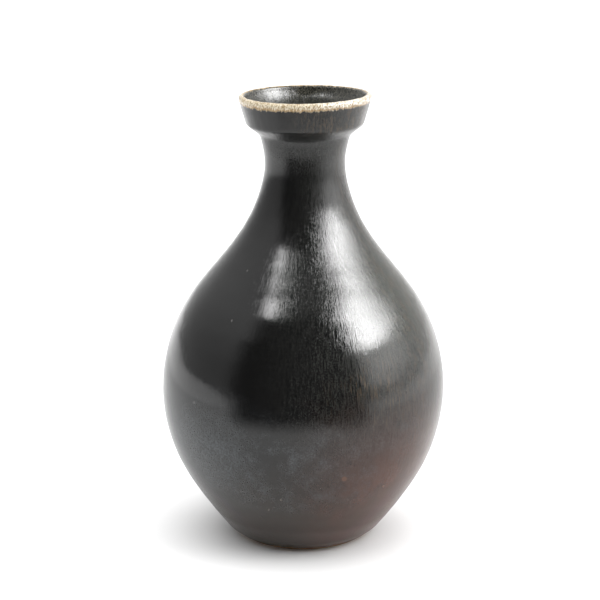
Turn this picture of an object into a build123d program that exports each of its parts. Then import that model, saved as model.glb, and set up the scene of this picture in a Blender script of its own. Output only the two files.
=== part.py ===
"""Dish-mouthed stoneware sake bottle, about two go (360 ml), thrown in one piece and glazed.

The bottle stands on a trimmed foot ring at z = 0, with its axis on Z. It is four solids: the fired clay
and the three coats of glaze that lie on it. All four are turned from shares of one half section in the
XZ plane, so the coats meet the clay, and each other, face to face.
"""

import os

from build123d import *

# Driving dimensions, in millimetres.
overall_height = 150.0
foot_radius = 22.0
belly_radius = 47.5
belly_height = 51.5
neck_radius = 13.2
neck_height = 128.0
lip_radius = 21.7
throat_radius = 9.0

# Foot: a narrow ring with a shallow recess inside it and a knife-trimmed bevel outside it.
foot_ring_width = 4.0
foot_recess_depth = 2.6
foot_recess_slope = 1.4
foot_edge_round = 0.5
bevel_radius = 26.6
bevel_height = 3.6
belly_rise = (0.64, 0.77)

# Dish mouth: a thick collar with a rounded lower corner and a thin rounded lip.
collar_approach = (14.1, 133.6)
collar_root = (15.7, 137.3)
collar_flare = (0.79, 0.61)
collar_corner = (19.2, 140.1)
collar_corner_round = 2.2
lip_thickness = 2.3
lip_rise = 1.1
dish_middle = (14.4, 142.2)
dish_start_slope = (-0.35, -0.94)

# Wall of the belly, and the floor inside, which is flat in the middle.
wall = 4.2
floor_level = 8.0
floor_flat_radius = 7.0
bowl_start_slope = (-0.707, -0.707)

# Glaze: a coat outside that stops just above the foot, a coat inside, and a pale one over the lip.
glaze_thickness = 0.45
glaze_line = 1.1
lip_coat_outside = 2.8
lip_coat_inside = 1.9

lip_base = overall_height - lip_rise
lip_middle_radius = lip_radius - lip_thickness / 2
foot_inner_radius = foot_radius - foot_ring_width
glaze_line_radius = foot_radius + (bevel_radius - foot_radius) * glaze_line / bevel_height
clear_radius = 1.5 * belly_radius

foot_points = [
    (0.0, foot_recess_depth),
    (foot_inner_radius - foot_recess_slope, foot_recess_depth),
    (foot_inner_radius, 0.0),
    (foot_radius, 0.0),
    (glaze_line_radius, glaze_line),
]
outside_points = [
    (bevel_radius, bevel_height),
    (34.4, 14.0),
    (42.7, 28.0),
    (belly_radius, belly_height),
    (45.4, 65.6),
    (36.75, 84.4),
    (25.7, 98.4),
    (16.8, 112.5),
    (13.85, 121.7),
    (neck_radius, neck_height),
]
inside_points = [
    (throat_radius, neck_height),
    (12.2, 112.5),
    (20.2, 98.4),
    (31.6, 84.4),
    (40.8, 65.6),
    (belly_radius - wall, belly_height),
    (41.4, 37.0),
    (37.8, 27.7),
    (31.0, 18.0),
]


def sunk_point(curve, fraction):
    """The point one coat's thickness to the left of a finished curve, which is inside the bottle's wall."""
    along = curve % fraction
    return curve @ fraction + glaze_thickness * Vector(-along.Y, along.X)


def sunk_curve(curve, spans, start):
    """A spline through evenly spaced sunk points of a finished curve, from the given start."""
    points = [start]
    for span in range(1, spans + 1):
        points.append(sunk_point(curve, span / spans))
    return Spline(*points, tangents=[curve % 0, curve % 1])


# Half of the finished bottle's section, clay and glaze together, drawn up the outside and down the inside.
with BuildSketch(Plane.XZ) as finished_section:
    with BuildLine():
        foot = Polyline(*foot_points)
        bevel = Line(foot @ 1, outside_points[0])
        body = Spline(*outside_points, tangents=[belly_rise, (0.0, 1.0)])
        neck = Spline(body @ 1, collar_approach, collar_root, tangents=[(0.0, 1.0), collar_flare])
        collar = FilletPolyline(neck @ 1, collar_corner, (lip_radius, lip_base), radius=collar_corner_round)
        lip = ThreePointArc(
            collar @ 1,
            (lip_middle_radius, overall_height),
            (lip_radius - lip_thickness, lip_base),
        )
        dish = Spline(
            lip @ 1,
            dish_middle,
            (throat_radius, neck_height),
            tangents=[dish_start_slope, (0.0, -1.0)],
        )
        hollow = Spline(*inside_points, tangents=[(0.0, -1.0), bowl_start_slope])
        bowl = TangentArc(hollow @ 1, (floor_flat_radius, floor_level), tangent=hollow % 1)
        Polyline(bowl @ 1, (0.0, floor_level), foot @ 0)
    make_face()
    foot_edge = finished_section.vertices().sort_by_distance((foot_radius, 0.0))[0]
    fillet(foot_edge, radius=foot_edge_round)

# The same half section of the clay alone, which is bare below the glaze line and inside the foot ring.
with BuildSketch(Plane.XZ) as clay_section:
    with BuildLine():
        bare_foot = Polyline(*foot_points)
        glaze_edge = Line(bare_foot @ 1, sunk_point(bevel, 0))
        sunk_bevel = Line(glaze_edge @ 1, sunk_point(body, 0))
        sunk_body = sunk_curve(body, 24, sunk_bevel @ 1)
        sunk_neck = sunk_curve(neck, 4, sunk_body @ 1)
        sunk_collar = sunk_curve(collar, 10, sunk_neck @ 1)
        sunk_lip = ThreePointArc(sunk_collar @ 1, sunk_point(lip, 0.5), sunk_point(lip, 1))
        sunk_dish = sunk_curve(dish, 8, sunk_lip @ 1)
        sunk_hollow = sunk_curve(hollow, 36, sunk_dish @ 1)
        sunk_bowl = ThreePointArc(sunk_hollow @ 1, sunk_point(bowl, 0.5), sunk_point(bowl, 1))
        Polyline(sunk_bowl @ 1, (0.0, floor_level - glaze_thickness), bare_foot @ 0)
    make_face()
    bare_foot_edge = clay_section.vertices().sort_by_distance((foot_radius, 0.0))[0]
    fillet(bare_foot_edge, radius=foot_edge_round)

# The coats are what is left between the two sections. One zone holds what lies over the lip.
with BuildSketch(Plane.XZ) as coats:
    add(finished_section.sketch_local)
    add(clay_section.sketch_local, mode=Mode.SUBTRACT)
with BuildSketch(Plane.XZ) as lip_zone:
    with Locations((lip_middle_radius, overall_height)):
        Rectangle(clear_radius, lip_coat_outside, align=(Align.MIN, Align.MAX))
        Rectangle(lip_middle_radius, lip_coat_inside, align=(Align.MAX, Align.MAX))

with BuildPart() as clay_body:
    with BuildSketch(Plane.XZ):
        add(clay_section.sketch_local)
    revolve(axis=Axis.Z)
clay_body.part.label = "clay_body"

with BuildPart() as rim_glaze:
    with BuildSketch(Plane.XZ):
        add(coats.sketch_local)
        add(lip_zone.sketch_local, mode=Mode.INTERSECT)
    revolve(axis=Axis.Z)
rim_glaze.part.label = "rim_glaze"

# Below the lip the coats are two separate strips, and the inner one is nearer the axis.
with BuildSketch(Plane.XZ) as strips:
    add(coats.sketch_local)
    add(lip_zone.sketch_local, mode=Mode.SUBTRACT)
inner_strip = strips.sketch_local.faces().sort_by(Axis.X)[0]
outer_strip = strips.sketch_local.faces().sort_by(Axis.X)[-1]

with BuildPart() as inner_glaze:
    with BuildSketch(Plane.XZ):
        add(inner_strip)
    revolve(axis=Axis.Z)
inner_glaze.part.label = "inner_glaze"

with BuildPart() as outer_glaze:
    with BuildSketch(Plane.XZ):
        add(outer_strip)
    revolve(axis=Axis.Z)
outer_glaze.part.label = "outer_glaze"

os.makedirs("parts", exist_ok=True)
export_step(clay_body.part, "parts/clay_body.step")
export_step(outer_glaze.part, "parts/outer_glaze.step")
export_step(inner_glaze.part, "parts/inner_glaze.step")
export_step(rim_glaze.part, "parts/rim_glaze.step")
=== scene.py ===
"""Looks of the dish-mouthed stoneware sake bottle: clay, coats of glaze, light and camera.

Lengths are in metres and the frame is the CAD model's. Every piece is turned about Z from one outline,
which is read off the CAD coats. Small irregularities of the hand-thrown pot are then added to all pieces
alike, so that they still meet face to face.
"""

import math
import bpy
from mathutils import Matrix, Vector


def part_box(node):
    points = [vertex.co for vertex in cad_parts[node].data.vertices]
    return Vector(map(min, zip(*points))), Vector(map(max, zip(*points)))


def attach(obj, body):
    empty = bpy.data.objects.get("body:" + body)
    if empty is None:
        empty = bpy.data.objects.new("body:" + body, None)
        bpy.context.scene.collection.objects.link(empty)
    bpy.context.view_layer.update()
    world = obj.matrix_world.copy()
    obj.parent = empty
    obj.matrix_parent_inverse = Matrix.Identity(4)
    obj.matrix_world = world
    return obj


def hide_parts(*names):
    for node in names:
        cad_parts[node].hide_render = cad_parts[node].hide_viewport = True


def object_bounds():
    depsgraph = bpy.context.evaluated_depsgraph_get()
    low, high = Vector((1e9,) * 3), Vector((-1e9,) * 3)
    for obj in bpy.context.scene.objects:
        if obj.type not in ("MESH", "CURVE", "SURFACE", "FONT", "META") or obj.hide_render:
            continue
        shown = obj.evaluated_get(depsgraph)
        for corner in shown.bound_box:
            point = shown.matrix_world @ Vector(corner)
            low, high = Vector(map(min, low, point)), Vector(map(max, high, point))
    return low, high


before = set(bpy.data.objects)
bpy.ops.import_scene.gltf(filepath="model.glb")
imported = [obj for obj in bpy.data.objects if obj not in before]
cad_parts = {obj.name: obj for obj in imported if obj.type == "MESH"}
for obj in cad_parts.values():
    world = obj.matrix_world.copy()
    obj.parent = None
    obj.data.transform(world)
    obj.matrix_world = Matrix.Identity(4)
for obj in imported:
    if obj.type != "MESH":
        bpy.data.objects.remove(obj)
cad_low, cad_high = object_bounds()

from types import SimpleNamespace

import bmesh
import bpy
import numpy as np
from mathutils import Vector
from mathutils.bvhtree import BVHTree

MM = 0.001
BELLY_RADIUS = (cad_high.x - cad_low.x) / 2
BELLY_IN_MM = BELLY_RADIUS / MM

# ---------------------------------------------------------------------------------------------
# Outline, read off the CAD coats
# ---------------------------------------------------------------------------------------------

# The coats' thickness, as in the CAD model.
COAT = 0.45 * MM

OUTLINE_STEP = 0.1 * MM
CLOSEST_POINTS = 0.05 * MM
CORNER_SOFTNESS = 0.3 * MM

# The plain wall, between these distances from the glaze line, is softened more than the corners are.
WALL_START = 9 * MM
WALL_STOP = 143 * MM
WALL_FADE = 5 * MM
WALL_SOFTNESS = 2.2 * MM

ON_PLANE = 1e-7
SAME_PLACE = 1e-6


def seam_points(node):
    """(radius, height) of the CAD node's vertices on the half plane where its turned faces close."""
    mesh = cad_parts[node].data
    co = np.array([v.co for v in mesh.vertices])
    on_seam = (np.abs(co[:, 1]) < ON_PLANE) & (co[:, 0] > 0)
    return np.unique(np.round(co[on_seam][:, [0, 2]], 7), axis=0)


def skin_points(node, clay_tree):
    """The seam points on the node's free side, which are a coat's thickness away from the clay."""
    points = []
    for radius, height in seam_points(node):
        distance = clay_tree.find_nearest(Vector((radius, 0.0, height)))[3]
        if distance > 0.6 * COAT:
            points.append((radius, height))
    return np.array(points)


def outline_points():
    """Points of the finished surface in order: glaze line, outside, lip, inside, middle of the floor."""
    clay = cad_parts["clay_body"]
    clay_tree = BVHTree.FromObject(clay, bpy.context.evaluated_depsgraph_get())
    outside = skin_points("outer_glaze", clay_tree)
    outside = outside[np.argsort(outside[:, 1])]
    inside = skin_points("inner_glaze", clay_tree)
    inside = inside[np.lexsort((-inside[:, 0], -inside[:, 1]))]
    lip = skin_points("rim_glaze", clay_tree)
    lip_middle = np.array([(outside[-1, 0] + inside[0, 0]) / 2, inside[0, 1]])
    around_lip = np.arctan2(lip[:, 1] - lip_middle[1], lip[:, 0] - lip_middle[0])
    lip = lip[np.argsort(around_lip)]
    outer_seam = seam_points("outer_glaze")
    glaze_line = outer_seam[outer_seam[:, 1].argmin()]
    floor_middle = np.array([0.0, inside[-1, 1]])
    points = np.vstack([glaze_line, outside, lip, inside, floor_middle])
    apart = np.linalg.norm(np.diff(points, axis=0), axis=1) > CLOSEST_POINTS
    return points[np.r_[True, apart]]


def catmull_rom(points, step):
    """Centripetal Catmull-Rom curve through the points, resampled evenly along its length."""
    ends = np.vstack([2 * points[0] - points[1], points, 2 * points[-1] - points[-2]])
    dense = [points[:1]]
    for p0, p1, p2, p3 in zip(ends[:-3], ends[1:-2], ends[2:-1], ends[3:]):
        t1 = math.sqrt(np.linalg.norm(p1 - p0))
        t2 = t1 + math.sqrt(np.linalg.norm(p2 - p1))
        t3 = t2 + math.sqrt(np.linalg.norm(p3 - p2))
        t = np.linspace(t1, t2, 41)[1:, None]
        a1 = (t1 - t) / t1 * p0 + t / t1 * p1
        a2 = (t2 - t) / (t2 - t1) * p1 + (t - t1) / (t2 - t1) * p2
        a3 = (t3 - t) / (t3 - t2) * p2 + (t - t2) / (t3 - t2) * p3
        b1 = (t2 - t) / t2 * a1 + t / t2 * a2
        b2 = (t3 - t) / (t3 - t1) * a2 + (t - t1) / (t3 - t1) * a3
        dense.append((t2 - t) / (t2 - t1) * b1 + (t - t1) / (t2 - t1) * b2)
    dense = np.vstack(dense)
    length = np.r_[0.0, np.cumsum(np.linalg.norm(np.diff(dense, axis=0), axis=1))]
    even = np.linspace(0.0, length[-1], int(length[-1] / step) + 1)
    return np.c_[np.interp(even, length, dense[:, 0]), np.interp(even, length, dense[:, 1])]


def softened(points, sigma_in_steps):
    """The same curve with its corners rounded a little, and its two ends where they were."""
    reach = int(4 * sigma_in_steps)
    weights = np.exp(-0.5 * (np.arange(-reach, reach + 1) / sigma_in_steps) ** 2)
    weights /= weights.sum()
    before = 2 * points[0] - points[reach:0:-1]
    after = 2 * points[-1] - points[-2:-reach - 2:-1]
    padded = np.vstack([before, points, after])
    columns = [np.convolve(padded[:, k], weights, mode="valid") for k in (0, 1)]
    return np.stack(columns, axis=1)


def smooth_step(x):
    """0 up to 0 and 1 from 1 on, smooth between them."""
    x = np.clip(x, 0.0, 1.0)
    return x * x * (3 - 2 * x)


def between(x, low, high, fade):
    """1 from low to high, falling smoothly to 0 over a fade outside them."""
    return smooth_step((x - low) / fade + 1) * smooth_step((high - x) / fade + 1)


class Outline:
    """Finished outside and inside as one curve, from the glaze line over the lip to the floor."""

    def __init__(self):
        sharp = softened(catmull_rom(outline_points(), OUTLINE_STEP), CORNER_SOFTNESS / OUTLINE_STEP)
        smooth = softened(sharp, WALL_SOFTNESS / OUTLINE_STEP)
        plain_wall = between(np.arange(len(sharp)) * OUTLINE_STEP, WALL_START, WALL_STOP, WALL_FADE)
        self.points = sharp + (smooth - sharp) * plain_wall[:, None]
        steps = np.linalg.norm(np.diff(self.points, axis=0), axis=1)
        self.length = np.r_[0.0, np.cumsum(steps)]
        along = np.gradient(self.points, self.length, axis=0)
        along /= np.linalg.norm(along, axis=1)[:, None]
        self.normals = np.c_[along[:, 1], -along[:, 0]]
        self.crest = self.length[self.points[:, 1].argmax()]
        self.end = self.length[-1]

    def at(self, s):
        """Radius, height and outward normal at a distance along the curve. s can be an array."""
        radius = np.interp(s, self.length, self.points[:, 0])
        height = np.interp(s, self.length, self.points[:, 1])
        normal_r = np.interp(s, self.length, self.normals[:, 0])
        normal_z = np.interp(s, self.length, self.normals[:, 1])
        return radius, height, normal_r, normal_z

    def outside_at(self, height):
        """Distance along the curve to a height on the outside."""
        up = self.length < self.crest
        return float(np.interp(height, self.points[up, 1], self.length[up]))

    def inside_at(self, height):
        """Distance along the curve to a height on the inside, above the flat floor."""
        floor_height = self.points[-1, 1]
        down = (self.length > self.crest) & (self.points[:, 1] > floor_height + MM)
        return float(np.interp(-height, -self.points[down, 1], self.length[down]))


outline = Outline()

# ---------------------------------------------------------------------------------------------
# Hand-thrown irregularities, the same for every piece
# ---------------------------------------------------------------------------------------------

random = np.random.default_rng(7)


class Wander:
    """Smooth random relief over the turned surface, about -1 to 1: waves that close round the axis."""

    def __init__(self, count, most_lobes, longest, shortest):
        self.lobes = random.integers(0, most_lobes + 1, count)
        self.rate = 2 * math.pi / random.uniform(shortest, longest, count) * random.choice([-1, 1], count)
        self.phase = random.uniform(0, 2 * math.pi, count)
        self.weight = random.uniform(0.4, 1.0, count)
        self.weight *= 0.8 / np.sqrt(np.sum(self.weight ** 2))

    def at(self, angle, s):
        total = np.zeros(np.broadcast(angle, s).shape)
        for lobes, rate, phase, weight in zip(self.lobes, self.rate, self.phase, self.weight):
            total += weight * np.cos(lobes * angle + rate * s + phase)
        return total


# The order of these draws settles every random shape.
swell = Wander(9, 4, 160 * MM, 70 * MM)
dents = Wander(40, 11, 40 * MM, 14 * MM)
glaze_edge = Wander(26, 34, 400 * MM, 300 * MM)
lip_line = Wander(30, 46, 400 * MM, 300 * MM)
tremor = Wander(50, 42, 9 * MM, 3.5 * MM)

RING_PITCH = 7.3 * MM
RING_HEIGHT = 0.012 * MM
RING_WOBBLE = 1.3
SWELL_HEIGHT = 0.09 * MM
DENT_HEIGHT = 0.016 * MM
TREMOR_HEIGHT = 0.006 * MM

# Rings, swell, dents, flat patch and shoulder stay between these distances along the outline.
RELIEF_START = 6 * MM
RELIEF_STOP = outline.crest - 26 * MM
RELIEF_FADE = 5 * MM

# A patch pressed flat low down, a little in front of the +X side.
FLAT_DEPTH = 0.32 * MM
FLAT_ANGLE = -0.35
FLAT_HALF_ANGLE = 0.30
FLAT_PLACE = outline.outside_at(39 * MM)
FLAT_HALF_HEIGHT = 11 * MM

# The shoulder is a little slimmer than in the CAD model.
SHOULDER_SLACK = 0.45 * MM
SHOULDER_PLACE = outline.outside_at(93 * MM)
SHOULDER_HALF_HEIGHT = 15 * MM

# One pit, behind the +X side.
PIT_ANGLE = math.radians(28)
PIT_PLACE = outline.outside_at(60 * MM)
PIT_SIZE = 1.5 * MM
PIT_DEPTH = 0.14 * MM


def dimple(across, along):
    """1 in the middle of a dimple, given distances from it as shares of its half width and half height."""
    return np.exp(-across ** 2 - along ** 2)


def relief(angle, s):
    """How far the finished surface stands out from the outline, at an angle and a distance along it."""
    wall = between(s, RELIEF_START, RELIEF_STOP, RELIEF_FADE)
    rings = np.sin(2 * math.pi * s / RING_PITCH + angle + RING_WOBBLE * swell.at(angle, 2 * s))
    body = RING_HEIGHT * rings + SWELL_HEIGHT * (swell.at(angle, s) - 1) + DENT_HEIGHT * dents.at(angle, s)
    from_flat = (angle - FLAT_ANGLE + math.pi) % (2 * math.pi) - math.pi
    flat = FLAT_DEPTH * dimple(from_flat / FLAT_HALF_ANGLE, (s - FLAT_PLACE) / FLAT_HALF_HEIGHT)
    slack = SHOULDER_SLACK * dimple(0.0, (s - SHOULDER_PLACE) / SHOULDER_HALF_HEIGHT)
    pit = PIT_DEPTH * dimple((angle - PIT_ANGLE) * BELLY_RADIUS / PIT_SIZE, (s - PIT_PLACE) / PIT_SIZE)
    return wall * (body - flat - slack) - pit + TREMOR_HEIGHT * tremor.at(angle, s)


# From a share of the height up, the neck leans to +X, and the lip dips towards -X and waves a little.
LEAN = 0.55 * MM
LEAN_START = 0.35
LEAN_SPAN = 0.65
LIP_START = 0.88
LIP_SPAN = 0.10
LIP_TILT = 0.36 * MM
TILT_SLOPE = 2.1
TILT_DROP = 1.05
LIP_WAVE = 0.10 * MM
WAVE_DROP = 0.6
WAVE_TURN = 0.7


def warped(points):
    """The points of an ideal turned bottle moved to where the slightly leaning real one has them."""
    x, y, z = points.T
    height = cad_high.z
    rise = smooth_step((z - LEAN_START * height) / (LEAN_SPAN * height))
    lip = smooth_step((z - LIP_START * height) / (LIP_SPAN * height))
    angle = np.arctan2(y, x)
    tilt = LIP_TILT * (x / BELLY_RADIUS * TILT_SLOPE - TILT_DROP)
    ripple = lip_line.at(angle, 0 * z) * 0.5
    wave = LIP_WAVE * (ripple - WAVE_DROP + WAVE_DROP * np.cos(2 * angle + WAVE_TURN))
    return np.stack([x + LEAN * rise, y, z + lip * (tilt + wave)], axis=1)


# ---------------------------------------------------------------------------------------------
# Turned meshes
# ---------------------------------------------------------------------------------------------

COLUMNS = 384
ANGLES = np.arange(COLUMNS) * 2 * math.pi / COLUMNS
SHARP_ANGLE = math.radians(50)


def turned(angle, radius, height):
    """Points at an angle round the axis, a radius and a height."""
    return np.stack([radius * np.cos(angle), radius * np.sin(angle), height], axis=-1)


def skin(rows, depth=0.0):
    """Points of the finished surface, or of one at a depth under it. rows holds each point's distance."""
    angle = np.broadcast_to(ANGLES, rows.shape)
    radius, height, normal_r, normal_z = outline.at(rows)
    out = relief(angle, rows) - depth
    return turned(angle, np.maximum(radius + out * normal_r, 0.0), height + out * normal_z)


def level(distances):
    """Rows at the same distance along the outline all the way round."""
    return np.repeat(np.asarray(distances, float)[:, None], COLUMNS, axis=1)


def flow_of(rows):
    """Each point's place on the glaze, in millimetres: round the belly as a circle, and along the outline."""
    angle = np.broadcast_to(ANGLES, rows.shape)
    return turned(angle, BELLY_IN_MM, (rows - outline.crest) / MM)


def faces_of(grid):
    """Faces that join each row to the next, and the last to the first, except along the axis."""
    row_count = len(grid)
    index = np.arange(row_count * COLUMNS).reshape(row_count, COLUMNS)
    after = np.roll(index, -1, axis=1)
    on_axis = np.hypot(grid[..., 0], grid[..., 1]).max(axis=1) < SAME_PLACE
    faces = []
    for below in range(row_count):
        above = (below + 1) % row_count
        if on_axis[below] and on_axis[above]:
            continue
        corners = (index[below], after[below], after[above], index[above])
        if on_axis[below]:
            corners = (np.full(COLUMNS, index[below, 0]), after[above], index[above])
        elif on_axis[above]:
            corners = (index[below], after[below], np.full(COLUMNS, index[above, 0]))
        faces += np.stack(corners, axis=1).tolist()
    return faces


def turned_mesh(name, grid, flow):
    """A closed mesh from a grid of rows and columns that closes both ways, or ends in a point at the axis."""
    points = warped(grid.reshape(-1, 3))
    mesh = bpy.data.meshes.new(name)
    mesh.from_pydata(points.tolist(), [], faces_of(grid))
    attribute = mesh.attributes.new("flow", "FLOAT_VECTOR", "POINT")
    attribute.data.foreach_set("vector", flow.reshape(-1, 3).ravel())
    bm = bmesh.new()
    bm.from_mesh(mesh)
    loose = [v for v in bm.verts if not v.link_faces]
    bmesh.ops.delete(bm, geom=loose, context="VERTS")
    bmesh.ops.recalc_face_normals(bm, faces=bm.faces)
    bm.to_mesh(mesh)
    bm.free()
    mesh.shade_smooth()
    mesh.set_sharp_from_angle(angle=SHARP_ANGLE)
    piece = bpy.data.objects.new(name, mesh)
    bpy.context.scene.collection.objects.link(piece)
    return piece


def placed(piece, node):
    """The piece in place of its CAD node."""
    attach(piece, "root")
    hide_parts(node)
    return piece


def coat(name, node, rows):
    """A coat of glaze: its free skin along the rows, and coarser rows one coat down, on the clay."""
    back = rows[::-1]
    under = np.concatenate([back[:-1:6], back[-1:]])
    grid = np.concatenate([skin(rows), skin(under, COAT)])
    piece = turned_mesh(name, grid, np.concatenate([flow_of(rows), flow_of(under)]))
    return placed(piece, node)


LIP_EDGE_OUTSIDE = outline.outside_at(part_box("rim_glaze")[0].z) - outline.crest
LIP_EDGE_INSIDE = outline.inside_at(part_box("inner_glaze")[1].z) - outline.crest
LIP_EDGE_WANDER = 0.15 * MM
GLAZE_EDGE_WANDER = 0.35 * MM


def rim_edge(from_crest):
    """Where the pale coat ends all round, as distances along the outline."""
    return outline.crest + from_crest + LIP_EDGE_WANDER * lip_line.at(ANGLES, 0.0)


def outer_glaze():
    """The dark coat outside. Its lower edge wanders a little above the foot."""
    start = GLAZE_EDGE_WANDER * (1 + glaze_edge.at(ANGLES, 0.0))
    stop = rim_edge(LIP_EDGE_OUTSIDE)
    share = np.concatenate([
        np.linspace(0.0, 0.02, 14)[:-1],
        np.linspace(0.02, 0.84, 140)[:-1],
        np.linspace(0.84, 1.0, 58),
    ])[:, None]
    return coat("glaze_outside", "outer_glaze", start + (stop - start) * share)


def inner_glaze():
    """The liner coat, from inside the lip down to the middle of the floor."""
    start = rim_edge(LIP_EDGE_INSIDE)
    stop = np.full(COLUMNS, outline.end)
    share = np.concatenate([np.linspace(0.0, 0.16, 60)[:-1], np.linspace(0.16, 1.0, 110)])[:, None]
    return coat("glaze_inside", "inner_glaze", start + (stop - start) * share)


def rim_glaze():
    """The pale coat over the lip."""
    start = rim_edge(LIP_EDGE_OUTSIDE)
    stop = rim_edge(LIP_EDGE_INSIDE)
    share = np.linspace(0.0, 1.0, 40)[:, None]
    return coat("glaze_lip", "rim_glaze", start + (stop - start) * share)


FOOT_ROW_STEPS = 5
HIGHEST_RECESS = 4 * MM


def foot_rows():
    """Points of the bare foot, from the middle of the recess to where the clay goes under the glaze."""
    seam = seam_points("clay_body")
    on_floor = seam[seam[:, 1] < SAME_PLACE]
    ring_inner, ring_outer = on_floor[:, 0].min(), on_floor[:, 0].max()
    recess = seam[(seam[:, 0] < ring_inner - 0.5 * MM) & (seam[:, 1] < HIGHEST_RECESS)]
    recess_height = recess[:, 1].max()
    recess_edge = seam[np.abs(seam[:, 1] - recess_height) < SAME_PLACE][:, 0].max()
    radius, height, normal_r, normal_z = outline.at(0.0)
    bevel_start = (radius - COAT * normal_r, height - COAT * normal_z)
    corners = np.array([
        (0.0, recess_height),
        (0.5 * recess_edge, recess_height),
        (recess_edge, recess_height),
        (ring_inner, 0.0),
        (0.5 * (ring_inner + ring_outer), 0.0),
        (ring_outer, 0.0),
        bevel_start,
    ])
    lengths = np.r_[0.0, np.cumsum(np.linalg.norm(np.diff(corners, axis=0), axis=1))]
    even = np.arange(0.0, lengths[-1], OUTLINE_STEP)
    curve = np.c_[np.interp(even, lengths, corners[:, 0]), np.interp(even, lengths, corners[:, 1])]
    curve = softened(curve, CORNER_SOFTNESS / OUTLINE_STEP)
    curve[:, 1] = np.maximum(curve[:, 1], 0.0)
    return curve[::FOOT_ROW_STEPS]


# Trimming marks in the recess, between these radii.
TRIM_PITCH = 1.1 * MM
TRIM_HEIGHT = 0.05 * MM
TRIM_START = 1.5 * MM
TRIM_STOP = 15 * MM
TRIM_FADE = 1.5 * MM

FOOT_END = 3 * MM
HALF_LIP = 6 * MM


def clay_body():
    """The thrown clay: the bare foot, then the wall a coat's thickness under the finished surface."""
    foot = foot_rows()
    angle = np.broadcast_to(ANGLES, (len(foot), COLUMNS))
    marks = TRIM_HEIGHT * np.sin(2 * math.pi * foot[:, :1] / TRIM_PITCH + angle)
    marks = marks * between(foot[:, :1], TRIM_START, TRIM_STOP, TRIM_FADE)
    foot_grid = turned(angle, foot[:, :1], foot[:, 1:] + marks)
    foot_lengths = np.arange(-len(foot), 0) * FOOT_ROW_STEPS * OUTLINE_STEP
    hidden = level(np.concatenate([
        np.linspace(0.0, FOOT_END, 9),
        np.linspace(FOOT_END, outline.crest - HALF_LIP, 42)[1:],
        np.linspace(outline.crest - HALF_LIP, outline.crest + HALF_LIP, 25)[1:],
        np.linspace(outline.crest + HALF_LIP, outline.end, 42)[1:],
    ]))
    grid = np.concatenate([foot_grid, skin(hidden, COAT)])
    flow = np.concatenate([flow_of(level(foot_lengths)), flow_of(hidden)])
    return placed(turned_mesh("clay", grid, flow), "clay_body")


pieces = {
    "outer": outer_glaze(),
    "inner": inner_glaze(),
    "rim": rim_glaze(),
    "clay": clay_body(),
}

# ---------------------------------------------------------------------------------------------
# Short names for shader nodes
# ---------------------------------------------------------------------------------------------


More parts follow.
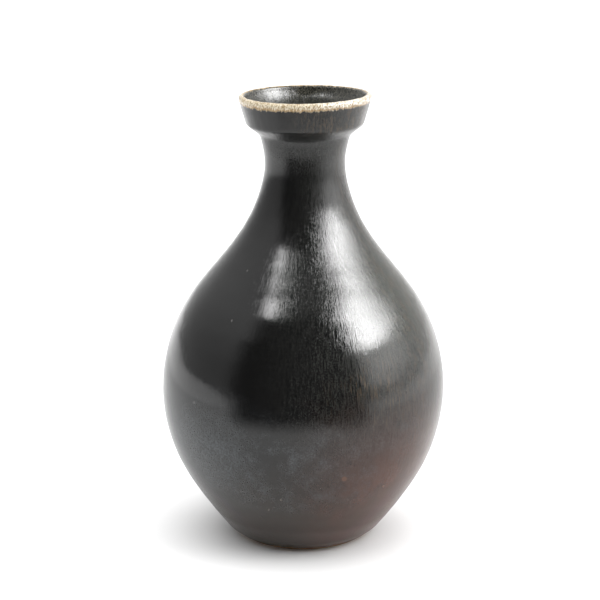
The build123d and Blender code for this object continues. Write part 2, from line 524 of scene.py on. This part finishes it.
class Shading:
    """A material's node tree, with short names for the nodes that the glazes and the clay are made of."""

    def __init__(self, name):
        self.material = bpy.data.materials.new(name)
        self.material.use_nodes = True
        self.tree = self.material.node_tree
        self.shader = self.tree.nodes["Principled BSDF"]

    def put(self, socket, value):
        """Links another node's output to the socket, or sets the socket to a plain value."""
        if isinstance(value, bpy.types.NodeSocket):
            self.tree.links.new(value, socket)
        else:
            socket.default_value = value

    def node(self, kind, values, **settings):
        node = self.tree.nodes.new(kind)
        for setting, value in settings.items():
            setattr(node, setting, value)
        for key, value in values.items():
            self.put(node.inputs[key], value)
        return node

    def math(self, operation, a, b=0.0, c=0.0):
        return self.node("ShaderNodeMath", {0: a, 1: b, 2: c}, operation=operation).outputs[0]

    def times(self, *factors):
        product = factors[0]
        for factor in factors[1:]:
            product = self.math("MULTIPLY", product, factor)
        return product

    def plus(self, a, b):
        return self.math("ADD", a, b)

    def minus(self, a, b):
        return self.math("SUBTRACT", a, b)

    def larger(self, a, b):
        return self.math("MAXIMUM", a, b)

    def fade(self, x, zero_at, one_at):
        """0 at one value and 1 at another, smooth between them and level outside."""
        values = {"Value": x, "From Min": zero_at, "From Max": one_at}
        if zero_at > one_at:
            values = {"Value": x, "From Min": one_at, "From Max": zero_at, "To Min": 1.0, "To Max": 0.0}
        return self.node("ShaderNodeMapRange", values, interpolation_type="SMOOTHSTEP").outputs[0]

    def hump(self, x, middle, half_width):
        """1 at the middle, falling smoothly to 0 at the half width on both sides."""
        away = self.math("ABSOLUTE", self.minus(x, middle))
        return self.fade(away, half_width, 0.0)

    def stretched(self, vector, x, y, z):
        return self.node("ShaderNodeVectorMath", {0: vector, 1: (x, y, z)}, operation="MULTIPLY").outputs[0]

    def upright(self, vector, share):
        """The vector squeezed along the outline, so that a pattern on it is drawn out up and down."""
        return self.stretched(vector, 1.0, 1.0, share)

    def noise(self, vector, scale, detail=2.0, roughness=0.5, distortion=0.0):
        values = {
            "Vector": vector,
            "Scale": scale,
            "Detail": detail,
            "Roughness": roughness,
            "Distortion": distortion,
        }
        return self.node("ShaderNodeTexNoise", values).outputs[0]

    def cells(self, vector, scale):
        """Distance to the nearest of many scattered points."""
        values = {"Vector": vector, "Scale": scale}
        return self.node("ShaderNodeTexVoronoi", values, feature="F1").outputs[0]

    def mix(self, amount, a, b):
        """A colour between a and b."""
        node = self.tree.nodes.new("ShaderNodeMix")
        node.data_type = "RGBA"
        for socket, value in ((node.inputs[0], amount), (node.inputs[6], a), (node.inputs[7], b)):
            if isinstance(value, tuple) and len(value) == 3:
                value = (*value, 1.0)
            self.put(socket, value)
        return node.outputs[2]

    def blend(self, amount, a, b):
        """A number between a and b."""
        return self.node("ShaderNodeMix", {0: amount, 2: a, 3: b}).outputs[0]

    def distance(self, vector, point):
        return self.node("ShaderNodeVectorMath", {0: vector, 1: point}, operation="DISTANCE").outputs["Value"]

    def parts(self, vector):
        return self.node("ShaderNodeSeparateXYZ", {0: vector}).outputs

    def position(self):
        return self.node("ShaderNodeTexCoord", {}).outputs["Object"]

    def flow(self):
        """The point's place on the glaze in millimetres, as flow_of() gives it, and its three parts."""
        vector = self.node("ShaderNodeAttribute", {}, attribute_name="flow").outputs["Vector"]
        x, y, s = self.parts(vector)
        return vector, x, y, s

    def place(self):
        """The point in the row frame, in millimetres, and its height."""
        vector = self.stretched(self.position(), 1000.0, 1000.0, 1000.0)
        return vector, self.parts(vector)[2]

    def bump(self, *layers):
        """Adds layers of (height, depth in metres) to the surface."""
        normal = None
        for height, depth in layers:
            values = {"Height": height, "Distance": depth, "Strength": 1.0}
            if normal is not None:
                values["Normal"] = normal
            normal = self.node("ShaderNodeBump", values).outputs[0]
        self.put(self.shader.inputs["Normal"], normal)

    def surface(self, shader):
        """Makes another shader the material's surface."""
        self.put(self.tree.nodes["Material Output"].inputs["Surface"], shader)


# ---------------------------------------------------------------------------------------------
# Glaze and clay
# ---------------------------------------------------------------------------------------------

# Spots in the glaze: degrees to the right of the front, height in mm, size in mm, colour.
SPOTS = [
    (17, 33, 1.2, (0.085, 0.038, 0.022)),
    (38, 27, 0.7, (0.11, 0.060, 0.040)),
    (-10, 25, 0.6, (0.075, 0.065, 0.058)),
    (-17, 20, 0.5, (0.080, 0.070, 0.060)),
    (-23, 16, 0.5, (0.080, 0.070, 0.060)),
    (-42, 96, 0.6, (0.060, 0.058, 0.055)),
    (-37, 82, 0.5, (0.070, 0.068, 0.065)),
    (-48, 55, 0.6, (0.060, 0.060, 0.060)),
    (30, 97, 0.6, (0.060, 0.056, 0.052)),
]

def patterns(look):
    """What the outside's colours are laid out by: places on the bottle, and noise at several scales.

    right runs from -1 at the -X side to 1 at the +X side, near is 1 at the front and -1 at the back, and z
    is the height in millimetres.
    """
    vector, x, y, _ = look.flow()
    clouds = look.noise(vector, 0.12, 3.0, 0.6)
    return SimpleNamespace(
        vector=vector,
        right=look.times(x, 1 / BELLY_IN_MM),
        near=look.times(y, -1 / BELLY_IN_MM),
        z=look.place()[1],
        patches=look.noise(vector, 0.045, 3.0, 0.55),
        clouds=clouds,
        drift=look.times(look.minus(clouds, 0.5), 30.0),
        grains=look.noise(vector, 2.0, 2.0, 0.6),
        fur=look.fade(look.noise(look.upright(vector, 0.14), 2.0, 3.0, 0.6, 0.4), 0.36, 0.68),
        hair=look.fade(look.noise(look.upright(vector, 0.09), 3.0, 2.0, 0.5), 0.46, 0.70),
        mottle=look.fade(look.noise(look.upright(vector, 0.6), 0.55, 3.0, 0.65), 0.45, 0.62),
    )


def fur_zone_of(look, at):
    """Where the hare's fur shows: not on the smooth left side, and not low down."""
    smooth_left = look.times(look.fade(at.right, -0.05, -0.5), look.fade(at.near, -0.5, 0.2))
    return look.times(look.fade(smooth_left, 1.0, 0.0), look.fade(look.plus(at.z, at.drift), 18.0, 46.0))


def upper_colours(look, at, fur_zone):
    """Near-black with hare's fur and pepper, and greyer and greener towards the right."""
    pepper = look.times(look.fade(at.grains, 0.50, 0.66), look.fade(at.right, -0.7, 0.6))
    furred = look.times(at.fur, fur_zone, look.blend(look.fade(at.right, -0.35, 0.45), 0.15, 0.85))
    colour = look.mix(furred, (0.0030, 0.0030, 0.0030), (0.024, 0.024, 0.022))
    colour = look.mix(look.times(pepper, 0.8), colour, (0.026, 0.028, 0.025))
    far_right = look.fade(look.plus(at.right, look.times(at.patches, 0.5)), 0.5, 1.1)
    grey = look.times(far_right, look.blend(at.fur, 0.5, 1.0))
    colour = look.mix(look.times(grey, 0.55), colour, (0.036, 0.036, 0.034))
    speckled = look.fade(at.grains, 0.40, 0.66)
    green = look.times(look.fade(at.right, 0.2, 0.85), look.hump(at.z, 88.0, 34.0), speckled)
    return look.mix(look.times(green, 0.75), colour, (0.050, 0.060, 0.042))


def bloom_of(look, at):
    """Where the blue-grey bloom lies, low on the left."""
    height = look.plus(at.z, look.times(at.drift, 0.4))
    bloom = look.times(look.hump(at.right, -0.80, 0.60), look.hump(height, 37.0, 28.0))
    speckled = look.blend(look.fade(at.grains, 0.42, 0.62), 0.30, 1.0)
    return look.times(bloom, look.fade(at.near, -0.4, 0.1), speckled)


def lower_colours(look, at, colour, lower, bloom):
    """The browner lower part, with its bloom, a thin mist all round, rust on the right and ochre hairs."""
    colour = look.mix(lower, colour, (0.026, 0.018, 0.013))
    colour = look.mix(bloom, colour, (0.066, 0.072, 0.076))
    mist = look.fade(look.noise(at.vector, 0.13, 5.0, 0.68, 0.3), 0.40, 0.72)
    mist = look.times(mist, look.hump(at.z, 35.0, 26.0))
    mist = look.times(mist, look.blend(look.fade(at.grains, 0.42, 0.62), 0.35, 1.0))
    colour = look.mix(mist, colour, (0.050, 0.056, 0.060))
    rust = look.times(look.fade(at.right, -0.25, 0.8), look.fade(look.plus(at.z, at.drift), 64.0, 26.0))
    rust = look.times(rust, look.blend(look.fade(at.clouds, 0.35, 0.65), 0.55, 1.0))
    colour = look.mix(look.times(rust, 0.85), colour, (0.080, 0.025, 0.012))
    ochre = look.times(look.hump(at.right, 0.48, 0.42), look.hump(at.z, 62.0, 20.0))
    ochre = look.times(ochre, look.fade(at.near, 0.2, 0.6))
    streaks = look.times(at.hair, ochre, look.fade(at.patches, 0.42, 0.58), 0.55)
    return look.mix(streaks, colour, (0.10, 0.066, 0.036))


def neck_colours(look, at, colour):
    """A speckled band under the collar, partly real speckle and partly a painted reflection of the floor,
    stronger at the front; brown mottle on the collar; and a mottled, painted warm reflection down the right
    side's edge.
    """
    # Painted reflection: the grey speckled band under the collar is partly real speckle and partly the
    # floor's reflection painted in, stronger towards the front.
    speckle_and_painted_reflection = look.times(look.hump(at.z, 132.5, 9.0), look.fade(at.grains, 0.48, 0.62))
    speckle_and_painted_reflection = look.times(speckle_and_painted_reflection, look.fade(at.near, -0.2, 0.8))
    colour = look.mix(look.times(speckle_and_painted_reflection, 0.8), colour, (0.060, 0.061, 0.058))
    collar = look.times(look.fade(at.z, 137.5, 141.0), look.fade(at.right, -0.5, 0.5), at.mottle)
    colour = look.mix(look.times(collar, 0.7), colour, (0.060, 0.044, 0.030))
    # Painted reflection: the warm tint down the right side's edge stands in for a warm gleam on the
    # silhouette, broken up by the mottle.
    painted_warm_edge_reflection = look.times(look.fade(at.right, 0.55, 1.0), look.fade(at.z, 20.0, 40.0), 0.35)
    return look.mix(look.times(painted_warm_edge_reflection, at.mottle), colour, (0.085, 0.055, 0.035))


def spotted(look, at, colour):
    """The colour with the separate spots on it."""
    for around, height, size, shade in SPOTS:
        angle = math.radians(around - 90)
        along = (outline.outside_at(height * MM) - outline.crest) / MM
        centre = (BELLY_IN_MM * math.cos(angle), BELLY_IN_MM * math.sin(angle), along)
        rough_edge = look.times(look.minus(at.grains, 0.5), 0.9 * size)
        away = look.plus(look.distance(at.vector, centre), rough_edge)
        colour = look.mix(look.fade(away, size, 0.55 * size), colour, shade)
    return colour


def outside_glaze(look):
    """Colour, roughness, raised ridges and fine hairs of the outside."""
    at = patterns(look)
    fur_zone = fur_zone_of(look, at)
    lower = look.fade(look.plus(at.z, look.times(at.drift, 0.5)), 46.0, 6.0)
    bloom = bloom_of(look, at)
    colour = upper_colours(look, at, fur_zone)
    colour = lower_colours(look, at, colour, lower, bloom)
    colour = neck_colours(look, at, colour)
    colour = spotted(look, at, colour)
    dull = look.larger(lower, look.times(bloom, 0.7))
    roughness = look.plus(look.blend(dull, 0.10, 0.24), look.times(look.fade(at.z, 108.0, 128.0), 0.06))
    ridges = look.times(at.fur, look.blend(fur_zone, 0.15, 1.0))
    return colour, roughness, ridges, at.hair


def liner_colour(look):
    """Inside: dark grey-green, and speckled near the lip, with the speckle fading out deeper down as painted
    shade.
    """
    vector, _, _, s = look.flow()
    grains = look.noise(vector, 1.5, 3.0, 0.65)
    clouds = look.noise(vector, 0.2, 3.0, 0.6)
    # Painted shade: the speckle is full near the lip and fades to a tenth deeper down the mouth, so that the
    # throat goes dark.
    speckle_and_depth_shade = look.times(look.fade(grains, 0.44, 0.62), look.blend(look.fade(s, 8.0, 2.0), 0.10, 1.0))
    colour = look.mix(look.fade(clouds, 0.35, 0.65), (0.006, 0.0065, 0.005), (0.012, 0.013, 0.010))
    return look.mix(speckle_and_depth_shade, colour, (0.105, 0.100, 0.080))


def pale_lip(look):
    """The lip's pale colour, and how far it covers the dark glaze, with ragged edges."""
    vector, x, _, s = look.flow()
    drips = look.noise(look.upright(vector, 0.4), 0.6, 3.0, 0.65)
    fine = look.noise(vector, 1.3, 3.0, 0.7)
    ragged = look.plus(look.times(look.minus(drips, 0.5), 2.2), look.minus(fine, 0.5))
    torn = look.plus(s, ragged)
    cover = look.times(look.fade(torn, -3.3, -2.75), look.fade(torn, 1.0, 0.35))
    cream = look.mix(look.fade(x, -10.0, 34.0), (0.64, 0.57, 0.43), (0.80, 0.77, 0.69))
    cream = look.mix(look.fade(fine, 0.42, 0.56), (0.30, 0.22, 0.12), cream)
    specks = look.fade(look.cells(vector, 1.1), 0.34, 0.18)
    cream = look.mix(look.times(specks, 0.7), cream, (0.10, 0.058, 0.024))
    ochre = look.larger(look.hump(torn, -2.7, 0.7), look.hump(s, 0.55, 0.45))
    return look.mix(look.times(ochre, 0.8), cream, (0.27, 0.165, 0.06)), cover


def glaze(name):
    """One glaze for all three coats, so that its pattern runs on from one coat to the next."""
    look = Shading(name)
    vector, _, _, s = look.flow()
    colour, roughness, ridges, hair = outside_glaze(look)
    inside = look.fade(s, 0.0, 0.4)
    colour = look.mix(inside, colour, liner_colour(look))
    roughness = look.blend(inside, roughness, 0.06)
    pale, cover = pale_lip(look)
    look.put(look.shader.inputs["Base Color"], look.mix(cover, colour, pale))
    look.put(look.shader.inputs["Roughness"], look.blend(cover, roughness, 0.20))
    look.shader.inputs["IOR"].default_value = 1.5
    peel = look.noise(look.upright(vector, 0.6), 0.45, 2.0, 0.5)
    grit = look.noise(look.upright(vector, 0.5), 1.1, 3.0, 0.6)
    outside = look.fade(s, 1.5, 0.5)
    look.bump(
        (ridges, -0.016 * MM),
        (hair, -0.007 * MM),
        (peel, 0.022 * MM),
        (look.times(grit, outside), 0.016 * MM),
    )
    return look.material


def bare_clay(name):
    """Fired stoneware with sand and iron specks."""
    look = Shading(name)
    vector, _ = look.place()
    sand = look.noise(vector, 3.5, 4.0, 0.7)
    clouds = look.noise(vector, 0.12, 3.0, 0.6)
    specks = look.fade(look.cells(vector, 0.9), 0.16, 0.08)
    colour = look.mix(look.fade(clouds, 0.35, 0.65), (0.30, 0.185, 0.110), (0.40, 0.27, 0.17))
    colour = look.mix(look.times(look.fade(sand, 0.50, 0.66), 0.5), colour, (0.52, 0.40, 0.28))
    colour = look.mix(look.times(specks, 0.8), colour, (0.06, 0.035, 0.025))
    look.put(look.shader.inputs["Base Color"], colour)
    look.put(look.shader.inputs["Roughness"], look.blend(sand, 0.70, 0.95))
    look.shader.inputs["Specular IOR Level"].default_value = 0.3
    look.bump((sand, 0.10 * MM), (look.noise(vector, 0.9, 2.0, 0.5), 0.10 * MM))
    return look.material


pieces["outer"].data.materials.append(glaze("iron_glaze"))
pieces["rim"].data.materials.append(glaze("lip_glaze"))
pieces["inner"].data.materials.append(glaze("liner_glaze"))
pieces["clay"].data.materials.append(bare_clay("stoneware"))

# ---------------------------------------------------------------------------------------------
# Studio: a pale plate, a white surround with a dark opening in front, a large overhead light that isn't
# seen in the glaze, and a dark screen and soft lamps that are seen only in the glaze
# ---------------------------------------------------------------------------------------------


def studio_floor():
    """A pale plate without gloss."""
    bpy.ops.mesh.primitive_plane_add(size=9.0, location=(0.0, 0.0, 0.0))
    plate = bpy.context.object
    plate.name = "plate"
    look = Shading("pale_plate")
    look.shader.inputs["Base Color"].default_value = (0.86, 0.86, 0.86, 1.0)
    look.shader.inputs["Roughness"].default_value = 0.9
    look.shader.inputs["Specular IOR Level"].default_value = 0.0
    plate.data.materials.append(look.material)


class WorldShading(Shading):
    """The same short names for the surround's nodes."""

    def __init__(self):
        world = bpy.data.worlds.new("studio")
        bpy.context.scene.world = world
        world.use_nodes = True
        self.tree = world.node_tree


# The opening in front, in degrees: its sides and how soft each is, its ends, and how much light it gives.
OPENING_SIDES = (-56, 49, (24, 14))
OPENING_BOTTOM = -60
OPENING_TOP = 59
OPENING_LIGHT = 0.07
GLOW_STRENGTH = 5.0


def azimuth_of(look, x, y):
    """Degrees round the bottle: 0 is the front, and 90 is the +X side."""
    return look.times(look.math("ARCTAN2", x, look.times(y, -1.0)), 180 / math.pi)


def azimuth_elevation(look, direction):
    """Azimuth and elevation of a direction, in degrees, as panel() wants them."""
    x, y, z = look.parts(direction)
    return azimuth_of(look, x, y), look.times(look.math("ARCSINE", z), 180 / math.pi)


def sides_of(look, azimuth, left, right, soft):
    """The sideways part of a soft-edged patch of directions, in degrees."""
    return look.times(
        look.fade(azimuth, left - soft[0] / 2, left + soft[0] / 2),
        look.fade(azimuth, right + soft[1] / 2, right - soft[1] / 2),
    )


def panel(look, azimuth, elevation, left, right, low, high, soft):
    """A soft-edged patch of directions, in degrees. soft is for the left, right, low and high edges."""
    ends = look.times(
        look.fade(elevation, low - soft[2] / 2, low + soft[2] / 2),
        look.fade(elevation, high + soft[3] / 2, high - soft[3] / 2),
    )
    return look.times(sides_of(look, azimuth, left, right, soft), ends)


def surround():
    """White walls with a dark opening in front and a glow by the key light. The camera sees plain white."""
    look = WorldShading()
    directions = look.node("ShaderNodeTexCoord", {}).outputs["Generated"]
    azimuth, elevation = azimuth_elevation(look, directions)
    away = look.math("ABSOLUTE", azimuth)
    low_wall = look.blend(look.fade(azimuth, 45.0, 60.0), 0.55, 1.1)
    wall = look.blend(look.fade(elevation, 8.0, 44.0), low_wall, 1.0)
    wall = look.blend(look.fade(elevation, 48.0, 66.0), wall, 0.35)
    wall = look.blend(look.fade(away, 125.0, 160.0), wall, 1.0)
    left, right, soft = OPENING_SIDES
    opening = panel(look, azimuth, elevation, left, right, OPENING_BOTTOM, OPENING_TOP, (*soft, 10, 12))
    wall = look.blend(opening, wall, OPENING_LIGHT)
    glow = panel(look, azimuth, elevation, 50, 92, 25, 54, (5, 50, 6, 8))
    total = look.plus(wall, look.times(glow, GLOW_STRENGTH))
    seen_directly = look.node("ShaderNodeLightPath", {}).outputs["Is Camera Ray"]
    background = look.tree.nodes["Background"]
    look.put(background.inputs["Strength"], look.blend(seen_directly, total, 1.0))
    look.put(background.inputs["Color"], (1.0, 1.0, 1.0, 1.0))


def overhead():
    """A large soft light above, which fills the shadows and isn't seen in the glaze."""
    light = bpy.data.lights.new("overhead", "AREA")
    light.shape = "DISK"
    light.size = 4.4
    light.energy = 140.0
    light_object = bpy.data.objects.new("overhead", light)
    bpy.context.scene.collection.objects.link(light_object)
    light_object.location = (0.1, -0.2, 2.6)
    light_object.visible_glossy = False
    light_object.visible_camera = False


def only_in_gloss(card):
    """Makes a card show only in reflections."""
    for ray in ("camera", "diffuse", "transmission", "shadow", "volume_scatter"):
        setattr(card, "visible_" + ray, False)


# The dark screen lies just above the plate round the foot, and stands up at its outer edge.
SCREEN_INNER = 0.03
SCREEN_MIDDLE = 0.20
SCREEN_OUTER = 0.33
SCREEN_HEIGHT = 0.26
SCREEN_LIFT = 0.0005
PLATE_DULLING = 0.24


def screen_mesh():
    """A flat ring with an upright wall round it."""
    rows = [
        (SCREEN_INNER, SCREEN_LIFT),
        (SCREEN_MIDDLE, SCREEN_LIFT),
        (SCREEN_OUTER, SCREEN_LIFT),
        (SCREEN_OUTER, 0.5 * SCREEN_HEIGHT),
        (SCREEN_OUTER, SCREEN_HEIGHT),
    ]
    angles = [math.radians(around - 90) for around in range(-180, 181, 5)]
    points = [(r * math.cos(a), r * math.sin(a), z) for r, z in rows for a in angles]
    faces = []
    for row in range(len(rows) - 1):
        for column in range(len(angles) - 1):
            corner = row * len(angles) + column
            faces.append((corner, corner + 1, corner + 1 + len(angles), corner + len(angles)))
    mesh = bpy.data.meshes.new("dark_screen")
    mesh.from_pydata(points, [], faces)
    return mesh


def dark_front():
    """The dark room low down in front, and a plate a little duller than it is lit, seen only in the glaze."""
    mesh = screen_mesh()
    screen = bpy.data.objects.new("dark_screen", mesh)
    bpy.context.scene.collection.objects.link(screen)
    look = Shading("dark_screen")
    x, y, z = look.parts(look.position())
    azimuth = azimuth_of(look, x, y)
    reach = look.math("SQRT", look.plus(look.times(x, x), look.times(y, y)))
    shade = look.times(look.fade(reach, 0.09, 0.31), sides_of(look, azimuth, *OPENING_SIDES))
    on_plate = look.fade(z, 0.01, 0.002)
    shade = look.larger(shade, look.times(on_plate, PLATE_DULLING))
    black = look.node("ShaderNodeEmission", {"Strength": OPENING_LIGHT})
    clear = look.node("ShaderNodeBsdfTransparent", {})
    both = look.node("ShaderNodeMixShader", {0: shade, 1: clear.outputs[0], 2: black.outputs[0]})
    look.surface(both.outputs[0])
    mesh.materials.append(look.material)
    only_in_gloss(screen)


LAMP_CENTRE = (0.0, 0.0, 0.08)

# How far a lamp's card runs past the lamp's edges, in degrees, to hold its soft edges.
CARD_LEFT = 20
CARD_RIGHT = 40
CARD_LOW = 20
CARD_HIGH = 30


def lamp_card(name, radius, left, right, low, high):
    """The part of a sphere round the bottle that a lamp needs."""
    bpy.ops.mesh.primitive_uv_sphere_add(segments=96, ring_count=48, radius=radius, location=LAMP_CENTRE)
    card = bpy.context.object
    card.name = name
    unused = []
    bm = bmesh.new()
    bm.from_mesh(card.data)
    for face in bm.faces:
        middle = face.calc_center_median().normalized()
        around = math.degrees(math.atan2(middle.x, -middle.y))
        up = math.degrees(math.asin(middle.z))
        if not (left - CARD_LEFT < around < right + CARD_RIGHT and low - CARD_LOW < up < high + CARD_HIGH):
            unused.append(face)
    bmesh.ops.delete(bm, geom=unused, context="FACES")
    bm.to_mesh(card.data)
    bm.free()
    return card


def lamp(name, strength, radius, left, right, low, high, soft, slant=0.0):
    """A soft-edged diffuser on a sphere round the bottle. Only its gleam on the glaze counts.

    Its edges are in degrees, and soft is for the left, right, low and high ones. The slant is how far the
    top edge rises for each degree to the right.
    """
    card = lamp_card(name, radius, left, right, low, high)
    look = Shading(name)
    direction = look.node("ShaderNodeVectorMath", {0: look.position()}, operation="NORMALIZE").outputs[0]
    azimuth, elevation = azimuth_elevation(look, direction)
    # The patch runs up to the top of the sphere, and the slanted edge cuts it off.
    shape = panel(look, azimuth, elevation, left, right, low, 89, (*soft[:3], 1))
    top = look.plus(elevation, look.times(look.minus(azimuth, left), -slant))
    shape = look.times(shape, look.fade(top, high + soft[3] / 2, high - soft[3] / 2))
    light = look.node("ShaderNodeEmission", {"Color": (1.0, 1.0, 1.0, 1.0)})
    look.put(light.inputs["Strength"], look.times(shape, strength))
    clear = look.node("ShaderNodeBsdfTransparent", {})
    both = look.node("ShaderNodeAddShader", {0: light.outputs[0], 1: clear.outputs[0]})
    look.surface(both.outputs[0])
    card.data.materials.append(look.material)
    only_in_gloss(card)


studio_floor()
surround()
dark_front()
lamp("key_light", 19.0, 1.2, 52, 92, 24, 50, (5, 46, 5, 6), slant=0.2)
lamp("key_skirt", 2.6, 1.3, 53, 98, 5, 25, (6, 34, 16, 6))
lamp("left_light", 21.0, 1.25, -57, -41, 51, 58, (20, 18, 9, 9))
overhead()

# ---------------------------------------------------------------------------------------------
# Camera
# ---------------------------------------------------------------------------------------------

CAMERA_PLACE = (-0.0011, -0.5720, 0.2356)
DEGREES_DOWN = 15.18

camera_data = bpy.data.cameras.new("camera")
camera_data.lens = 106.5
camera_data.sensor_width = 36.0
camera = bpy.data.objects.new("camera", camera_data)
bpy.context.scene.collection.objects.link(camera)
bpy.context.scene.camera = camera
camera.location = CAMERA_PLACE
camera.rotation_euler = (math.radians(90 - DEGREES_DOWN), 0.0, 0.0)

bpy.context.scene.view_settings.view_transform = "Standard"
